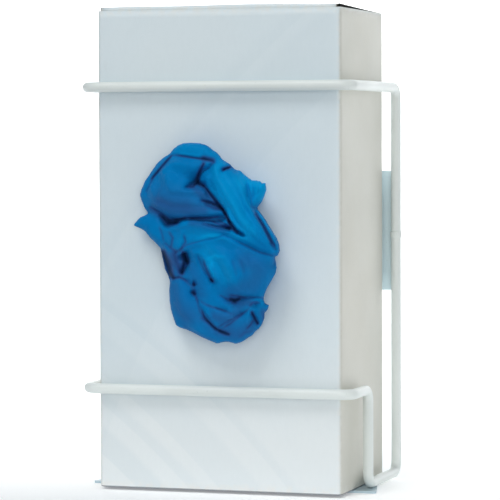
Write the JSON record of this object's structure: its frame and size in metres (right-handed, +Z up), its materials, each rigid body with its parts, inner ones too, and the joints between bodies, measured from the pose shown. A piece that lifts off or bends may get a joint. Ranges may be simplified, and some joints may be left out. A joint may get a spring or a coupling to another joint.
{
  "type": "disposable glove dispenser",
  "caption": "Wall-mounted coated wire holder with back plate and base plate, holding a paperboard carton of disposable gloves with one glove pulled out through the front.",
  "frame": {"origin": "centre of the four wall-screw holes, on the rear face of the back plate, which lies on the wall", "axes": "+Z up, front of the carton toward -Y, wall screws along +Y, +X to the right seen from the front"},
  "size_m": [0.1502, 0.1158, 0.2431],
  "materials": {
    "white_coating": "satin",
    "carton_board": "matte",
    "nitrile_film": "satin"
  },
  "bodies": {
    "root": {"wire_frame": "white_coating", "back_plate": "white_coating", "base_plate": "white_coating", "carton": "carton_board", "glove_stack": "nitrile_film", "dispensed_glove": "nitrile_film"}
  },
  "joints": []
}
